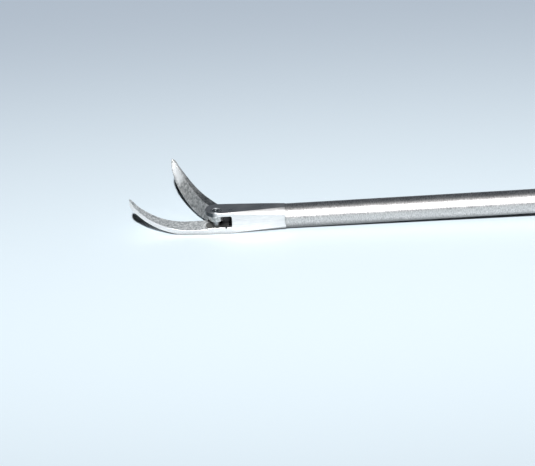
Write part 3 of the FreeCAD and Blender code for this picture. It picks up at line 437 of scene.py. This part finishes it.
def flat_core(low, high, half):
    """A slab past the plate's sides, a little thinner than the flat between its rims."""
    half_core = half - RIM_ROUND - 0.05 * MM
    spans = high - low
    core = bmesh.new()
    bmesh.ops.create_cube(core, size=1.0)
    for vert in core.verts:
        vert.co = Vector(((low.x + high.x) / 2 + vert.co.x * 1.2 * spans.x,
                          (low.y + high.y) / 2 + vert.co.y * 1.2 * spans.y,
                          SHAFT_Z + vert.co.z * 2 * half_core))
    slab = bpy.data.meshes.new("flat_core")
    core.to_mesh(slab)
    core.free()
    return slab


def fills(mesh, low, high):
    """Whether a mesh reaches the corners of a box to a tenth of a millimetre."""
    if not mesh.vertices:
        return False
    places = [vert.co for vert in mesh.vertices]
    reached = [Vector([pick(place[axis] for place in places) for axis in range(3)])
               for pick in (min, max)]
    return all((got - meant).length <= 0.1 * MM for got, meant in zip(reached, (low, high)))


def round_over(node, body, name, material):
    """Stand a copy of a plate with rounded rims in for a CAD node."""
    low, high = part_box(node)
    top, outlines = plate_outlines(node)
    half = top - SHAFT_Z
    plate = rounded_plate(name, outlines, SHAFT_Z, half)
    envelope = combined(plate, flat_core(low, high, half), "UNION")
    cad = nodes[node].data.copy()
    reworked(cad, weld)
    mesh = combined(cad, envelope, "INTERSECT")
    reworked(mesh, drop_slivers)
    if not fills(mesh, low, high):
        print(name, "doesn't fill its node, so the node stays")
        give(material, node)
        return
    mesh.name = name
    mesh.materials.clear()
    mesh.materials.append(material)
    for face in mesh.polygons:
        face.use_smooth = True
        face.material_index = 0
    mesh.set_sharp_from_angle(angle=SHARP_ANGLE)
    piece = mesh_object(name, mesh)
    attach(piece, body)
    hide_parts(node)


def make_handle():
    # Tumbled and satin polished: a soft even sheen with no direction to its grain.
    satin = steel("tumbled_satin_stainless", "#d3d4d5", "#babdbf", 0.34, (0.25, 0.25, 0.25), 0.004,
                  edge_mm=0.15)
    round_over("handle_body", "frame", "rounded_handle", satin)
    round_over("thumb_lever", "lever", "rounded_lever", satin)


# The pivot pin is peened over: a fine raised rim stands round its dimple, worn dull.

PEENED_RADIUS = 0.78 * MM
PEENED_BEAD = 0.06 * MM


def make_peened_rim():
    low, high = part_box("blade_pivot_pin")
    bpy.ops.mesh.primitive_torus_add(location=(0.0, 0.0, 0.0), major_segments=40,
                                     minor_segments=10, major_radius=PEENED_RADIUS,
                                     minor_radius=PEENED_BEAD)
    rim = bpy.context.object
    rim.name = "peened_rim"
    rim.data.transform(Matrix.Translation(((low.x + high.x) / 2, (low.y + high.y) / 2, high.z)))
    for face in rim.data.polygons:
        face.use_smooth = True
    rim.data.materials.append(steel("worn_peened_rim", "#a9acae", "#8d9092", 0.46,
                                    (0.2, 0.2, 0.2), 0.002))
    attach(rim, "frame")


# Stage: a pale table top, tilted so that the head and the handle both lie on it. Its colour holds
# a
# painted pool of light: palest in front of the jaws and darker away from there, less along the
# shaft than across.

TABLE_SPAN = 3.0
LIGHT_POOL_OFFSET_X = 38.0 * MM
LIGHT_POOL_OFFSET_Y = 27.0 * MM
LIGHT_POOL_REACH = 125.0 * MM
ALONG_SHAFT = 0.4


def make_floor():
    head_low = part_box("jaw_head")[0].z
    lean = head_low / -PIVOT.x
    mesh = bpy.data.meshes.new("table_top")
    corners = [(TABLE_SPAN * x, TABLE_SPAN * y, -lean * TABLE_SPAN * x)
               for x, y in ((-1, -1), (1, -1), (1, 1), (-1, 1))]
    mesh.from_pydata(corners, [], [(0, 1, 2, 3)])
    floor = bpy.data.objects.new("table_top", mesh)
    bpy.context.scene.collection.objects.link(floor)
    material, tree = new_material("table_top_with_painted_light_pool")
    coords = put(tree, "ShaderNodeTexCoord")
    at = put(tree, SPLIT, Vector=coords.outputs["Object"])
    along = put(tree, MATH, {"operation": "MULTIPLY_ADD"}, i0=at.outputs["X"],
                i1=ALONG_SHAFT, i2=LIGHT_POOL_OFFSET_X)
    across = put(tree, MATH, {"operation": "ADD"}, i0=at.outputs["Y"],
                 i1=LIGHT_POOL_OFFSET_Y)
    off = put(tree, "ShaderNodeCombineXYZ", X=along, Y=across)
    far = put(tree, VECTOR, {"operation": "LENGTH"}, i0=off)
    # Painted pool of light: the table's colour darkens with distance from the palest spot.
    shade = put(tree, MAP, SMOOTH, Value=far, From_Max=LIGHT_POOL_REACH)
    tone = put(tree, MIX, COLOURS, Factor=shade, i6=linear("#edf7fc"), i7=linear("#b1bac5"))
    shader = put(tree, "ShaderNodeBsdfPrincipled", Roughness=0.9, Specular_IOR_Level=0.0,
                 Base_Color=tone)
    put(tree, "ShaderNodeOutputMaterial", Surface=shader)
    mesh.materials.append(material)


# Light: a hard flash from over the camera, as a distant lamp that lights everything alike,
# and a room that only the metal shows. At this power a colour on the table renders about as
# it is written.

LAMP_TILT = math.radians(49.0)
LAMP_WIDTH = math.radians(2.3)
LAMP_POWER = 5.2
ROOM_SIDE = (0.45, 1.0, 0.0)


def make_light():
    world = bpy.data.worlds.new("dim_room")
    bpy.context.scene.world = world
    world.use_nodes = True
    world.cycles_visibility.diffuse = False
    tree = world.node_tree
    tree.nodes.clear()
    coords = put(tree, "ShaderNodeTexCoord")
    way = put(tree, SPLIT, Vector=coords.outputs["Generated"])
    side = put(tree, VECTOR, {"operation": "DOT_PRODUCT"}, i0=coords.outputs["Generated"],
               i1=ROOM_SIDE)
    near = put(tree, MAP, SMOOTH, Value=side, From_Min=0.25, From_Max=-0.3)
    high = put(tree, MAP, SMOOTH, Value=way.outputs["Z"], From_Min=0.08, From_Max=0.32)
    bright = put(tree, MATH, MULTIPLY, i0=near, i1=high)
    tint = put(tree, MIX, COLOURS, Factor=bright, i6=linear("#575e66"), i7=linear("#f4f8fa"))
    back = put(tree, "ShaderNodeBackground", Color=tint, Strength=0.8)
    put(tree, "ShaderNodeOutputWorld", Surface=back)

    data = bpy.data.lights.new("flash", "SUN")
    data.angle = LAMP_WIDTH
    data.energy = LAMP_POWER
    data.color = linear("#f6fafd")[:3]
    lamp = bpy.data.objects.new("flash", data)
    bpy.context.scene.collection.objects.link(lamp)
    lamp.rotation_euler = (LAMP_TILT, 0.0, 0.0)


make_camera()
finish_all()
make_handle()
make_peened_rim()
make_floor()
make_light()
bpy.context.scene.view_settings.view_transform = "Standard"
